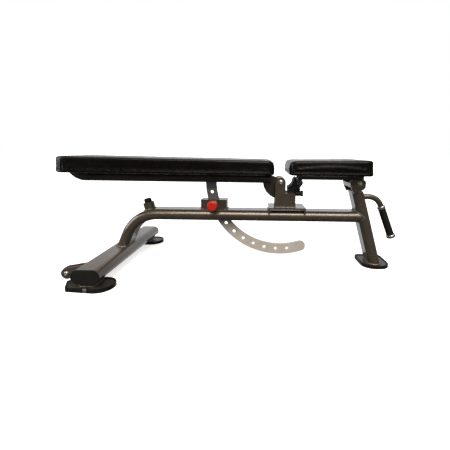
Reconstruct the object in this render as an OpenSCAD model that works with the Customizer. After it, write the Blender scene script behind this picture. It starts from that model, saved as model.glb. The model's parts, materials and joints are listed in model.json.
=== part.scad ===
// Adjustable flat, incline and decline weight bench on flat-oval tubes.
// +X runs from the head end to the handle end, +Y away from the plunger side, +Z up.
// The origin is on the floor, under the middle of the bench's length and width.

/* [Base frame] */
// Width of the flat-oval tubes
tube_w = 100; // [90:1:104]
// Height of the cross tube at the head end
cross_tube_h = 50; // [46:1:54]
// Length of the cross tube without its end caps
cross_tube_len = 588; // [560:2:620]
// X of the cross tube's centre line
cross_x = -487; // [-492:1:-482]
// Height of the cross tube's centre line
cross_z = 50; // [50:0.5:51]
// Thickness of the spine tube
spine_t = 46; // [44:1:48]
// Height of the spine's centre line
spine_z = 215; // [213:1:217]
// Radius of the spine's bend at its centre line
spine_bend_r = 137; // [132:1:142]
// Angle of the spine's bend
spine_bend_angle = 68; // [64:1:72]
// X at which the spine starts to bend down
spine_bend_x = -329; // [-334:1:-324]
// Wall of the steel tubes
wall = 3; // [2:0.5:4]

/* [Leg] */
// Thickness of the leg tube
leg_t = 48; // [46:1:50]
// Lean of the leg towards the head end
leg_lean = 15.1; // [14:0.1:16]
// X of the leg's centre line at floor level
leg_x = 619.5; // [616:0.5:622]
// Height of the leg's top
leg_top = 326; // [322:1:328]

/* [Back] */
// X of the back pad's hinge
back_x = 202; // [200:1:204]
// Height of the back pad's hinge
back_z = 363; // [361:1:365]
// X of the back pad's head end
back_pad_x0 = -709.5; // [-712:0.5:-700]
// X of the back pad's hinge end
back_pad_x1 = 171; // [168:0.5:171]
// Radius of the index arc at its holes
arc_r = 301; // [300:0.5:302]
// Angle between two index holes
arc_step = 9.65; // [9.6:0.05:9.7]

/* [Seat] */
// X of the seat's hinge on the leg
seat_x = 531; // [530:1:532]
// Height of the seat's hinge on the leg
seat_z = 362; // [361:1:363]
// X of the seat pad's rear end
seat_pad_x0 = 228.5; // [228.5:0.5:232]
// X of the seat pad's front end
seat_pad_x1 = 565; // [555:1:575]

/* [Pads] */
// Width of both pads
pad_w = 264; // [240:2:280]
// Height of the pads' underside
pad_z0 = 398; // [398:0.5:399]
// Height of the pads' top
pad_z1 = 455; // [450:1:456]

/* [Hidden] */
$fn = 64;
bend_grow = 0.04;
tube_r = tube_w / 2;
cap_t = 4;
foot_y = 260;
leg_foot_x = 618;
plate_z0 = 3;
plate_t = 8;
plate_top = plate_z0 + plate_t;
boot_h = 14;
boot_rim = 6;
spine_top = spine_z + spine_t / 2;
spine_bottom = spine_z - spine_t / 2;
saddle_top = 255;
tower_in = 42;
tower_t = 6;
tower_out = tower_in + tower_t;
tower_r = 20;
neck_extra = 3;
block_x1 = 265;
block_z1 = 316;
flange_in = 26;
pivot_r = 8;
frame_w = 76;
frame_h = 40;
frame_z0 = 355.6;
frame_z1 = frame_z0 + frame_h;
frame_x0 = -633;
frame_x1 = 160;
nose_r = 70;
nose_angle = 60;
cheek_in = 12;
cheek_t = 5;
cheek_r = 76;
barrel_r = 19;
barrel_half = 39;
arc_half_w = 23;
arc_t = 10;
arc_first = 9.7;
arc_holes = 10;
arc_hole_r = 7;
arc_tip = 107.8;
arc_top = 1.5;
pin_angle = arc_first + arc_step;
pin_x = back_x - arc_r * cos(pin_angle);
pin_z = back_z - arc_r * sin(pin_angle);
housing_x0 = -139.5;
housing_len = 112;
housing_w = 54;
housing_h = 43.5;
housing_wall = 5;
link_x = 283;
link_z = 358;
link_low_x = 251.5;
link_low_z = 322;
link_in = 18;
link_t = 5;
link_bolt_r = 6;
fit = 0.06;
seat_bolt_r = 6;
clevis_in = 50;
clevis_t = 6;
seat_frame_x0 = 276;
seat_frame_x1 = 556;
seat_frame_w = 64;
seat_frame_z0 = 373.4;
seat_frame_h = 22.2;
board_t = 12;
// Depth below the pad's top at which each step starts, then how far it stands in
// at the end that faces the other pad and on the other three sides.
edge_steps = [[18, 1.1, 0], [12, 3.1, 0.3], [8, 6.8, 0.8], [4, 10.9, 1.8], [1.5, 15, 3.5], [0, 15, 3.5]];
board_inset = 8;
bracket_t = 2.4;
wheel_x = -583;
wheel_z = 40.5;
wheel_r = 22;
wheel_y = 230;
axle_r = 4;
handle_z = 300;
handle_x = 589;
handle_bend_r = 60;
handle_drop = 69.3;
handle_r = 12;
grip_len = 122;
post_x = -375.5;
post_z = 262;
post_lean = 14.5;

steel_grey = [0.36, 0.33, 0.30];
frame_black = [0.10, 0.09, 0.09];
rubber_black = [0.05, 0.05, 0.05];
bright = [0.72, 0.70, 0.66];

// Flat-oval section, w along x and t along y.
module flat_oval(w, t) {
    square([w - t, t], center = true);
    for (side = [-1, 1])
        translate([side * (w - t) / 2, 0])
            circle(d = t);
}

// Flat-oval tube section with its wall.
module oval_ring(w, t) {
    difference() {
        flat_oval(w, t);
        flat_oval(w - 2 * wall, t - 2 * wall);
    }
}

// Round bar along Y from y0 to y1.
module y_bar(x, z, r, y0, y1) {
    translate([x, y0, z])
        rotate([-90, 0, 0])
            cylinder(h = y1 - y0, r = r);
}

// Extrudes a drawing made in x and z from y0 to y0 + t.
module xz_plate(y0, t) {
    translate([0, y0 + t, 0])
        rotate([90, 0, 0])
            linear_extrude(t)
                children();
}

// A pair of the same plate, on the near and the far side.
module both_sides(y_in, t) {
    xz_plate(y_in, t)
        children();
    xz_plate(-y_in - t, t)
        children();
}

// Outer solid of the cross tube.
module cross_solid() {
    translate([cross_x, 0, cross_z])
        rotate([90, 0, 0])
            linear_extrude(cross_tube_len, center = true)
                flat_oval(tube_w, cross_tube_h);
}

// Outer solid of the leg, longer than the leg at both ends.
module leg_solid(grow = 0) {
    translate([leg_x, 0, 0])
        rotate([0, -leg_lean, 0])
            translate([0, 0, -20])
                linear_extrude(400)
                    rotate(90)
                        flat_oval(tube_w + grow, leg_t + grow);
}

// Section of the spine tube, grown by grow, with or without its hollow.
module spine_section(grow, hollow) {
    difference() {
        flat_oval(tube_w + grow, spine_t + grow);
        if (hollow)
            flat_oval(tube_w + grow - 2 * wall, spine_t + grow - 2 * wall);
    }
}

// The spine: a level run, a bend that is a hair fatter, and a steep run.
module spine_path(hollow) {
    centre_z = spine_z - spine_bend_r;
    translate([spine_bend_x, 0, spine_z])
        rotate([90, 0, 90])
            linear_extrude(leg_x - spine_bend_x - 58)
                spine_section(0, hollow);
    translate([spine_bend_x, 0, centre_z])
        rotate([90, 0, 0])
            rotate([0, 0, 90])
                rotate_extrude(angle = spine_bend_angle, $fn = 96)
                    translate([spine_bend_r, 0])
                        rotate(90)
                            spine_section(bend_grow, hollow);
    translate([spine_bend_x, 0, centre_z])
        rotate([90, 0, 0])
            rotate([0, 0, 90 + spine_bend_angle])
                translate([spine_bend_r, 0, 0])
                    rotate([-90, 0, 0])
                        linear_extrude(110)
                            rotate(90)
                                spine_section(0, hollow);
}

// The room that the index arc sweeps through the spine and the selector housing.
module arc_slot() {
    clear = 3;
    intersection() {
        translate([back_x, -arc_t / 2 - 2.5, back_z])
            rotate([-90, 0, 0])
                difference() {
                    cylinder(h = arc_t + 5, r = arc_r + arc_half_w + clear, $fn = 128);
                    translate([0, 0, -1])
                        cylinder(h = arc_t + 7, r = arc_r - arc_half_w - clear, $fn = 128);
                }
        translate([-200, -50, 150])
            cube([280, 100, 160]);
    }
}

module cross_tube() {
    color(steel_grey)
        translate([cross_x, 0, cross_z])
            rotate([90, 0, 0])
                linear_extrude(cross_tube_len, center = true)
                    oval_ring(tube_w, cross_tube_h);
}

module cross_tube_caps() {
    plug = 14;
    color(rubber_black)
        for (side = [-1, 1])
            translate([cross_x, side * cross_tube_len / 2, cross_z])
                rotate([side * 90, 0, 0])
                    union() {
                        translate([0, 0, -cap_t])
                            linear_extrude(cap_t)
                                flat_oval(tube_w, cross_tube_h);
                        linear_extrude(plug)
                            flat_oval(tube_w - 2 * wall - 0.6, cross_tube_h - 2 * wall - 0.6);
                    }
}

module spine_tube() {
    color(steel_grey)
        difference() {
            spine_path(true);
            cross_solid();
            leg_solid();
            arc_slot();
            translate([leg_x, -100, 0])
                cube([200, 200, 400]);
            translate([cross_x - 60, -100, 0])
                cube([120, 200, cross_z]);
        }
}

module leg_tube() {
    color(steel_grey)
        intersection() {
            translate([leg_x, 0, 0])
                rotate([0, -leg_lean, 0])
                    translate([0, 0, -20])
                        linear_extrude(400)
                            rotate(90)
                                oval_ring(tube_w, leg_t);
            translate([leg_x - 200, -100, plate_top])
                cube([400, 200, leg_top - plate_top]);
        }
}

// Outline of a head foot in x and y, with its inboard side towards +y.
module head_foot_outline(shrink) {
    hull() {
        translate([-80, 10])
            circle(r = 12 - shrink / 2, $fn = 32);
        translate([-57, -30])
            circle(r = 15 - shrink, $fn = 32);
        translate([34, -2])
            circle(r = 52 - shrink, $fn = 48);
        translate([-57, 39])
            circle(r = 14 - shrink, $fn = 32);
    }
}

// Outline of the leg's foot in x and y, with tighter corners on its far side.
module leg_foot_outline(shrink) {
    hull() {
        translate([-8, -20])
            circle(r = 50 - shrink, $fn = 48);
        translate([10, -20])
            circle(r = 50 - shrink, $fn = 48);
        translate([-36, 54])
            circle(r = 22 - shrink, $fn = 32);
        translate([36, 52])
            circle(r = 24 - shrink, $fn = 32);
    }
}

// Puts a drawing made for the near head foot on both feet.
module on_head_feet() {
    translate([cross_x, -foot_y, 0])
        children();
    translate([cross_x, foot_y, 0])
        mirror([0, 1, 0])
            children();
}

// Rubber tray around a foot plate; child 0 is its outline, child 1 its pocket.
module boot() {
    difference() {
        linear_extrude(boot_h)
            children(0);
        translate([0, 0, plate_z0])
            linear_extrude(boot_h)
                children(1);
    }
}

module head_foot_risers() {
    color(steel_grey)
        on_head_feet()
            translate([-25, -26, plate_top])
                cube([50, 66, cross_z - cross_tube_h / 2 - plate_top]);
}

module head_foot_plates() {
    color(steel_grey)
        on_head_feet()
            translate([0, 0, plate_z0])
                linear_extrude(plate_t)
                    head_foot_outline(boot_rim);
}

module head_foot_boots() {
    color(rubber_black)
        on_head_feet()
            boot() {
                head_foot_outline(0);
                head_foot_outline(boot_rim);
            }
}

// Steel tabs hooked over the rims of the head feet.
module foot_clips() {
    tab = 12;
    rim_y = -53.8;
    steel = 1.6;
    color(bright)
        on_head_feet()
            translate([0, rim_y, 0]) {
                translate([0, 0, boot_h])
                    cube([tab, 16, steel]);
                translate([0, 0, 2])
                    cube([tab, steel, boot_h - 2 + steel]);
            }
}

module leg_foot_plate() {
    color(steel_grey)
        translate([leg_foot_x, 0, plate_z0])
            linear_extrude(plate_t)
                leg_foot_outline(boot_rim);
}

module leg_foot_boot() {
    color(rubber_black)
        translate([leg_foot_x, 0, 0])
            boot() {
                leg_foot_outline(0);
                leg_foot_outline(boot_rim);
            }
}

// Inverted channel across the spine that carries the pivot tower.
module saddle_channel() {
    x0 = 151;
    len = 157;
    half_w = 60;
    t = 6;
    skirt = 26;
    color(steel_grey)
        difference() {
            union() {
                translate([x0, -half_w, saddle_top - t])
                    cube([len, 2 * half_w, t]);
                for (x = [x0, x0 + len - t])
                    translate([x, -half_w, saddle_top - skirt])
                        cube([t, 2 * half_w, skirt]);
            }
            spine_path(false);
        }
}

// L-shaped side plate of the tower in x and z.
module tower_outline() {
    difference() {
        union() {
            for (x = [back_x - neck_extra, back_x])
                translate([x, back_z])
                    circle(r = tower_r);
            translate([back_x - neck_extra, back_z])
                square([neck_extra, tower_r]);
            translate([back_x - tower_r - neck_extra, saddle_top])
                square([2 * tower_r + neck_extra, back_z - saddle_top]);
            translate([back_x - tower_r - neck_extra, saddle_top])
                square([block_x1 - back_x + tower_r + neck_extra, block_z1 - saddle_top]);
        }
        translate([back_x, back_z])
            circle(r = pivot_r + fit);
    }
}

// Inward flanges of a tower plate, from the plate to y = flange_in on the far side.
module tower_flanges() {
    t = 4;
    x0 = back_x + tower_r + 2;
    reach = tower_in - flange_in;
    translate([x0, flange_in, block_z1 - t])
        cube([block_x1 - x0, reach, t]);
    translate([block_x1 - t, flange_in, saddle_top])
        cube([t, reach, block_z1 - saddle_top]);
}

module tower_plate_near() {
    color(steel_grey)
        union() {
            xz_plate(-tower_out, tower_t)
                tower_outline();
            mirror([0, 1, 0])
                tower_flanges();
        }
}

module tower_plate_far() {
    color(steel_grey)
        union() {
            xz_plate(tower_in, tower_t)
                tower_outline();
            tower_flanges();
        }
}

// Rubber buffers on the tower that stop the seat at its steepest.
module seat_stop_buffers() {
    body = 22;
    color(rubber_black)
        for (side = [-1, 1])
            translate([block_x1, side * 45, 316])
                rotate([0, 90, 0])
                    union() {
                        cylinder(h = body, r = 11);
                        translate([0, 0, body])
                            cylinder(h = 8, r = 12.5);
                    }
}

module back_pivot_bolt() {
    head = 7;
    color(bright)
        union() {
            y_bar(back_x, back_z, pivot_r, -tower_out, tower_out + 12);
            translate([back_x, -tower_out, back_z])
                rotate([90, 0, 0])
                    union() {
                        cylinder(h = 2, r = 11.5);
                        cylinder(h = head, r1 = 9.5, r2 = 6.5);
                    }
        }
}

module back_pivot_nut() {
    color(bright)
        difference() {
            translate([back_x, tower_out, back_z])
                rotate([-90, 0, 0])
                    union() {
                        cylinder(h = 2, r = 15);
                        cylinder(h = 10, r = 13, $fn = 6);
                    }
            y_bar(back_x, back_z, pivot_r + fit, tower_out - 1, tower_out + 14);
        }
}

// Box on the spine that guides the index arc and carries the plunger.
module selector_housing() {
    half_w = housing_w / 2;
    color(steel_grey)
        difference() {
            translate([housing_x0, -half_w, spine_top])
                cube([housing_len, housing_w, housing_h]);
            translate([housing_x0 + housing_wall, -half_w + housing_wall, spine_top - 1])
                cube([housing_len - 2 * housing_wall, housing_w - 2 * housing_wall,
                      housing_h - housing_wall + 1]);
            arc_slot();
            y_bar(pin_x, pin_z, 11, -half_w - 1, 0);
        }
}

module plunger_barrel() {
    face = -housing_w / 2;
    color(bright)
        difference() {
            union() {
                y_bar(pin_x, pin_z, 11, -62, face + housing_wall);
                translate([pin_x, face, pin_z])
                    rotate([90, 0, 0])
                        cylinder(h = 7, r = 16, $fn = 6);
            }
            y_bar(pin_x, pin_z, 6 + fit, -40, 0);
            y_bar(pin_x, pin_z, 8.5, -58, -30);
            y_bar(pin_x, pin_z, 4 + fit, -70, -50);
        }
}

module plunger_spring() {
    color(bright)
        translate([pin_x, -46.3, pin_z])
            rotate([90, 0, 0])
                linear_extrude(11.4, twist = -1440, slices = 64, $fn = 8)
                    translate([6.3, 0])
                        circle(r = 0.9, $fn = 8);
}

module plunger_pin() {
    color(bright)
        union() {
            y_bar(pin_x, pin_z, 6, -43, -6);
            y_bar(pin_x, pin_z, 8, -46, -43);
            y_bar(pin_x, pin_z, 4, -80, -46);
        }
}

// Round pull knob, a cup that slides over the barrel.
module plunger_knob() {
    r = 21;
    color([0.75, 0.05, 0.04])
        translate([pin_x, -64, pin_z])
            rotate([90, 0, 0])
                rotate_extrude()
                    difference() {
                        union() {
                            square([r, 20]);
                            square([r - 4, 24]);
                            translate([r - 4, 20])
                                circle(r = 4, $fn = 32);
                        }
                        translate([0, -1])
                            square([12.2, 15]);
                        translate([0, 13])
                            square([4, 3]);
                        translate([-r, -1])
                            square([r, 40]);
                    }
}

// Short tube standing on the spine's bend.
module stop_post() {
    color(steel_grey)
        difference() {
            translate([post_x, 0, post_z])
                rotate([0, -post_lean, 0])
                    translate([0, 0, -70])
                        difference() {
                            cylinder(h = 70, d = 46);
                            translate([0, 0, -1])
                                cylinder(h = 67, d = 40);
                        }
            spine_path(false);
            translate([-480, -60, 60])
                cube([200, 120, 132]);
        }
}

module stop_buffer() {
    color(rubber_black)
        translate([post_x, 0, post_z])
            rotate([0, -post_lean, 0])
                union() {
                    cylinder(h = 14, d = 31);
                    cylinder(h = 18, d = 26);
                }
}

// Fork at the top of the leg that carries the seat's hinge.
module seat_clevis() {
    color(steel_grey)
        difference() {
            union() {
                both_sides(clevis_in, clevis_t) {
                    difference() {
                        union() {
                            translate([seat_x, seat_z])
                                circle(r = 26);
                            polygon([[490, 364], [497, 339], [508, 318], [522, 324],
                                     [553, 341], [557, 349], [551, 370], [510, 376], [492, 372]]);
                        }
                        translate([seat_x - 60, seat_z + 14])
                            square([120, 40]);
                        translate([seat_x, seat_z])
                            circle(r = seat_bolt_r + fit);
                    }
                }
                xz_plate(-clevis_in, 2 * clevis_in)
                    polygon([[490, 364], [495, 345], [500, 346], [495, 364]]);
            }
            leg_solid();
        }
}

module seat_pivot_bolt() {
    edge = clevis_in + clevis_t;
    color(bright)
        union() {
            y_bar(seat_x, seat_z, seat_bolt_r, -edge, edge + 10);
            translate([seat_x, -edge, seat_z])
                rotate([90, 0, 0])
                    union() {
                        cylinder(h = 2, r = 10.5);
                        cylinder(h = 7, r1 = 8.5, r2 = 5.5);
                    }
        }
}

module seat_pivot_nut() {
    edge = clevis_in + clevis_t;
    color(bright)
        difference() {
            translate([seat_x, edge, seat_z])
                rotate([-90, 0, 0])
                    cylinder(h = 9, r = 12, $fn = 6);
            y_bar(seat_x, seat_z, seat_bolt_r + fit, edge - 1, edge + 12);
        }
}

// Frame of the handle's straight end, with +Z along the grip.
module on_handle(t) {
    translate([handle_x, 0, handle_z - handle_bend_r])
        rotate([90, 0, 0])
            rotate([0, 0, 90 - handle_drop])
                translate([handle_bend_r, 0, 0])
                    rotate([90, 0, 0])
                        translate([0, 0, t])
                            children();
}

module handle_tube() {
    reach = 70;
    color(steel_grey)
        difference() {
            union() {
                translate([handle_x - reach, 0, handle_z])
                    rotate([0, 90, 0])
                        cylinder(h = reach, r = handle_r);
                translate([handle_x, 0, handle_z - handle_bend_r])
                    rotate([90, 0, 0])
                        rotate([0, 0, 90 - handle_drop])
                            rotate_extrude(angle = handle_drop)
                                translate([handle_bend_r, 0])
                                    circle(r = handle_r + 0.2);
                on_handle(0)
                    cylinder(h = 16 + grip_len, r = handle_r);
            }
            leg_solid();
        }
}

module handle_collar() {
    color(bright)
        on_handle(3)
            difference() {
                cylinder(h = 12, r = 17);
                translate([0, 0, -1])
                    cylinder(h = 14, r = handle_r + 0.1);
            }
}

module handle_grip() {
    color(rubber_black)
        on_handle(15)
            difference() {
                cylinder(h = grip_len, r = 15.5);
                translate([0, 0, -1])
                    cylinder(h = grip_len + 2, r = handle_r + 0.1);
            }
}

module handle_end_cap() {
    color(bright)
        on_handle(16 + grip_len)
            union() {
                cylinder(h = 12, r = 19);
                cylinder(h = 15, r = 14);
            }
}

// Arms that carry the transport wheels, two for each wheel.
module wheel_arms() {
    arm_t = 5;
    gap = 11.5;
    color(steel_grey)
        difference() {
            for (side = [-1, 1], edge = [-gap - arm_t, gap])
                xz_plate(side * wheel_y + edge, arm_t)
                    difference() {
                        union() {
                            translate([wheel_x, wheel_z])
                                circle(r = wheel_r - 1.5);
                            polygon([[wheel_x - 9, wheel_z + 18.4], [cross_x - 30, cross_z + 23],
                                     [cross_x - 30, cross_z - 6], [wheel_x + 8, wheel_z - 18.8]]);
                        }
                        translate([wheel_x, wheel_z])
                            circle(r = axle_r + fit);
                    }
            cross_solid();
        }
}

module wheel_axles() {
    half = 18;
    color(bright)
        for (side = [-1, 1])
            union() {
                y_bar(wheel_x, wheel_z, axle_r, side * wheel_y - half, side * wheel_y + half);
                translate([wheel_x, side * (wheel_y + 16.5), wheel_z])
                    rotate([-side * 90, 0, 0])
                        cylinder(h = 5, r1 = 8, r2 = 6.5);
                translate([wheel_x, side * (wheel_y - 16.5), wheel_z])
                    rotate([side * 90, 0, 0])
                        cylinder(h = 5, r = 7, $fn = 6);
            }
}

// Solid transport wheel centred on y.
module wheel(y) {
    half = 10;
    color(rubber_black)
        translate([wheel_x, y, wheel_z])
            rotate([90, 0, 0])
                difference() {
                    union() {
                        cylinder(h = 2 * half, r = wheel_r - 2, center = true);
                        cylinder(h = 2 * half - 5, r = wheel_r, center = true);
                    }
                    cylinder(h = 2 * half + 2, r = axle_r + fit, center = true);
                }
}

module wheel_near() {
    wheel(-wheel_y);
}

module wheel_far() {
    wheel(wheel_y);
}

// Tube under the back pad, with a nose that bends up to the pad.
module back_frame_tube() {
    mid = frame_z0 + frame_h / 2;
    color(frame_black)
        difference() {
            union() {
                translate([frame_x0, 0, mid])
                    rotate([90, 0, 90])
                        linear_extrude(frame_x1 - frame_x0)
                            oval_ring(frame_w, frame_h);
                translate([frame_x0, 0, mid + nose_r])
                    rotate([90, 0, 0])
                        rotate([0, 0, 270 - nose_angle])
                            rotate_extrude(angle = nose_angle, $fn = 96)
                                translate([nose_r, 0])
                                    rotate(90)
                                        oval_ring(frame_w + 0.4, frame_h + 0.4);
            }
            translate([frame_x0 - 200, -100, frame_z1])
                cube([201 + frame_x1 - frame_x0, 200, 100]);
        }
}

// Side cheeks that join the back tube to its hinge barrel.
module back_hinge_cheeks() {
    drop = back_z - frame_z0;
    rise = frame_z1 - back_z;
    run = back_x - frame_x1;
    color(frame_black)
        both_sides(cheek_in, cheek_t)
            translate([back_x, back_z])
                difference() {
                    union() {
                        intersection() {
                            circle(r = cheek_r);
                            polygon([[0, 0], [-run, -drop], [-cheek_r - 4, -drop],
                                     [-cheek_r - 4, -cheek_r - 4], [0, -cheek_r - 4]]);
                        }
                        polygon([[-run, rise - 7], [-run, -30], [0, -barrel_r], [-12, 14.7]]);
                    }
                    circle(r = barrel_r);
                }
}

module back_hinge_barrel() {
    color(frame_black)
        difference() {
            y_bar(back_x, back_z, barrel_r, -barrel_half, barrel_half);
            y_bar(back_x, back_z, 12.55, -barrel_half - 1, barrel_half + 1);
        }
}

module back_hinge_bushes() {
    color([0.62, 0.48, 0.24])
        for (side = [-1, 1])
            translate([back_x, side * barrel_half, back_z])
                rotate([side * 90, 0, 0])
                    difference() {
                        union() {
                            cylinder(h = 20, r = 12.5);
                            translate([0, 0, -2])
                                cylinder(h = 2, r = 16);
                        }
                        translate([0, 0, -3])
                            cylinder(h = 24, r = pivot_r + fit);
                    }
}

// Curved index plate with a row of holes around the back hinge.
module index_arc() {
    color(bright)
        difference() {
            translate([back_x, arc_t / 2, back_z])
                rotate([90, 0, 0])
                    difference() {
                        union() {
                            rotate([0, 0, 180 + arc_top])
                                rotate_extrude(angle = arc_tip - arc_top, $fn = 128)
                                    translate([arc_r - arc_half_w, 0])
                                        square([2 * arc_half_w, arc_t]);
                            rotate([0, 0, 180 + arc_tip])
                                translate([arc_r, 0, 0])
                                    cylinder(h = arc_t, r = arc_half_w - 0.2);
                        }
                        for (hole = [0 : arc_holes - 1])
                            rotate([0, 0, 180 + arc_first + hole * arc_step])
                                translate([arc_r, 0, -1])
                                    cylinder(h = arc_t + 2, r = arc_hole_r);
                    }
            translate([back_x - 400, -20, frame_z0])
                cube([400, 40, 60]);
        }
}

// Flat strap under a pad, across its frame.
module pad_bracket(x, len, half_w) {
    translate([x - len / 2, -half_w, frame_z1])
        cube([len, 2 * half_w, bracket_t]);
}

// Screw heads under the pad brackets.
module pad_screws(xs, y) {
    for (x = xs, side = [-1, 1])
        translate([x, side * y, frame_z1 - 3])
            cylinder(h = 3, r = 6.5);
}

// Block from z0 to z1 with plan corners of radius r0 at x0 and r1 at x1.
module pad_block(x0, x1, half_w, z0, z1, r0, r1) {
    translate([0, 0, z0])
        linear_extrude(z1 - z0)
            union() {
                translate([x0 + r0, -half_w])
                    square([x1 - x0 - r0 - r1, 2 * half_w]);
                translate([x0, -half_w + r0])
                    square([r0, 2 * half_w - 2 * r0]);
                translate([x1 - r1, -half_w + r1])
                    square([r1, 2 * half_w - 2 * r1]);
                for (side = [-1, 1]) {
                    translate([x0 + r0, side * (half_w - r0)])
                        circle(r = r0);
                    translate([x1 - r1, side * (half_w - r1)])
                        circle(r = r1);
                }
            }
}

// Upholstery: a block whose top edge is rounded off in steps, with a pocket for the board.
// The rounder edge faces the other pad: it is at x1 when facing is 1, and at x0 when it is 0.
module pad_solid(x0, x1, r0, r1, facing) {
    half_w = pad_w / 2;
    difference() {
        union() {
            pad_block(x0, x1, half_w, pad_z0, pad_z1 - edge_steps[0][0], r0, r1);
            for (i = [0 : len(edge_steps) - 2]) {
                out = edge_steps[i][2];
                pad_block(x0 + edge_steps[i][1 + facing], x1 - edge_steps[i][2 - facing],
                          half_w - out, pad_z1 - edge_steps[i][0], pad_z1 - edge_steps[i + 1][0],
                          r0 - out, r1 - out);
            }
        }
        pad_board(x0, x1, r0, r1);
    }
}

module pad_board(x0, x1, r0, r1) {
    pad_block(x0 + board_inset, x1 - board_inset, pad_w / 2 - board_inset, pad_z0,
              pad_z0 + board_t, r0 - board_inset, r1 - board_inset);
}

module back_pad_brackets() {
    color(frame_black) {
        pad_bracket(-600, 60, 90);
        pad_bracket(-270, 60, 90);
        pad_bracket(100, 60, 90);
    }
}

module back_pad_board() {
    color([0.45, 0.32, 0.2])
        pad_board(back_pad_x0, back_pad_x1, 50, 26);
}

module back_pad() {
    color(rubber_black)
        pad_solid(back_pad_x0, back_pad_x1, 50, 26, 1);
}

module back_pad_screws() {
    color(bright)
        pad_screws([-600, -270, 100], 72);
}

module seat_frame_tube() {
    len = seat_frame_x1 - seat_frame_x0;
    color(frame_black)
        difference() {
            translate([seat_frame_x0, -seat_frame_w / 2, seat_frame_z0])
                cube([len, seat_frame_w, seat_frame_h]);
            translate([seat_frame_x0 - 1, -seat_frame_w / 2 + wall, seat_frame_z0 + wall])
                cube([len + 2, seat_frame_w - 2 * wall, seat_frame_h - 2 * wall]);
        }
}

// Barrel and cross plate that hinge the seat on the fork.
module seat_hinge_barrel() {
    half = 47;
    color(frame_black)
        difference() {
            union() {
                y_bar(seat_x, seat_z, 13.5, -half, half);
                translate([seat_x - 22, -half, seat_z + 4])
                    cube([44, 2 * half, seat_frame_z0 - seat_z - 4]);
            }
            y_bar(seat_x, seat_z, 9.55, -half - 1, half + 1);
            translate([seat_x - 40, -seat_frame_w / 2, seat_frame_z0])
                cube([80, seat_frame_w, 20]);
        }
}

module seat_hinge_bushes() {
    half = 47;
    color([0.62, 0.48, 0.24])
        for (side = [-1, 1])
            translate([seat_x, side * half, seat_z])
                rotate([side * 90, 0, 0])
                    difference() {
                        union() {
                            cylinder(h = 16, r = 9.5);
                            translate([0, 0, -2])
                                cylinder(h = 2, r = 12.5);
                        }
                        translate([0, 0, -3])
                            cylinder(h = 20, r = seat_bolt_r + fit);
                    }
}

// Lug under the seat tube that the link is bolted to.
module seat_rear_lug() {
    color(frame_black)
        xz_plate(-15.5, 31)
            difference() {
                union() {
                    translate([link_x, link_z])
                        circle(r = 12.5);
                    translate([seat_frame_x0, link_z])
                        square([19, seat_frame_z0 - link_z]);
                }
                translate([link_x, link_z])
                    circle(r = link_bolt_r + fit);
            }
}

module seat_pad_brackets() {
    color(frame_black) {
        pad_bracket(310, 50, 90);
        pad_bracket(500, 50, 90);
    }
}

module seat_pad_board() {
    color([0.45, 0.32, 0.2])
        pad_board(seat_pad_x0, seat_pad_x1, 26, 26);
}

module seat_pad() {
    color(rubber_black)
        pad_solid(seat_pad_x0, seat_pad_x1, 26, 26, 0);
}

module seat_pad_screws() {
    color(bright)
        pad_screws([310, 500], 72);
}

// Side plate of the seat link in x and z.
module link_outline() {
    low_r = 18;
    ear_r = 15;
    difference() {
        union() {
            translate([link_x, link_z])
                circle(r = ear_r);
            translate([link_low_x, link_low_z])
                circle(r = low_r);
            polygon([[link_low_x - low_r, link_low_z], [link_low_x - low_r - 2, 345], [262, 382],
                     [269, 384], [link_x - 10, link_z + 11], [link_x + ear_r - 2, link_z - 7],
                     [link_low_x + low_r - 2, link_low_z - 8]]);
        }
        translate([221, 375])
            circle(r = 35);
        translate([link_x, link_z])
            circle(r = link_bolt_r + fit);
    }
}

module seat_link() {
    color([0.07, 0.08, 0.12])
        union() {
            both_sides(link_in, link_t)
                link_outline();
            y_bar(link_low_x, link_low_z, 9, -link_in - 1, link_in + 1);
        }
}

module seat_link_bolt() {
    edge = link_in + link_t;
    color(bright)
        union() {
            y_bar(link_x, link_z, link_bolt_r, -edge - 1, edge + 1);
            translate([link_x, -edge, link_z])
                rotate([90, 0, 0])
                    union() {
                        cylinder(h = 1.5, r = 9.5);
                        cylinder(h = 6, r1 = 7.5, r2 = 5);
                    }
            translate([link_x, edge, link_z])
                rotate([-90, 0, 0])
                    cylinder(h = 6, r = 10, $fn = 6);
        }
}

cross_tube();
cross_tube_caps();
spine_tube();
leg_tube();
head_foot_risers();
head_foot_plates();
head_foot_boots();
foot_clips();
leg_foot_plate();
leg_foot_boot();
saddle_channel();
tower_plate_near();
tower_plate_far();
seat_stop_buffers();
back_pivot_bolt();
back_pivot_nut();
selector_housing();
plunger_barrel();
plunger_spring();
plunger_pin();
plunger_knob();
stop_post();
stop_buffer();
seat_clevis();
seat_pivot_bolt();
seat_pivot_nut();
handle_tube();
handle_collar();
handle_grip();
handle_end_cap();
wheel_arms();
wheel_axles();
wheel_near();
wheel_far();
back_frame_tube();
back_hinge_cheeks();
back_hinge_barrel();
back_hinge_bushes();
index_arc();
back_pad_brackets();
back_pad_board();
back_pad();
back_pad_screws();
seat_frame_tube();
seat_hinge_barrel();
seat_hinge_bushes();
seat_rear_lug();
seat_pad_brackets();
seat_pad_board();
seat_pad();
seat_pad_screws();
seat_link();
seat_link_bolt();
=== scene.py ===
import json
import math
import bpy
import bmesh
from mathutils import Matrix, Vector, noise


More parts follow.
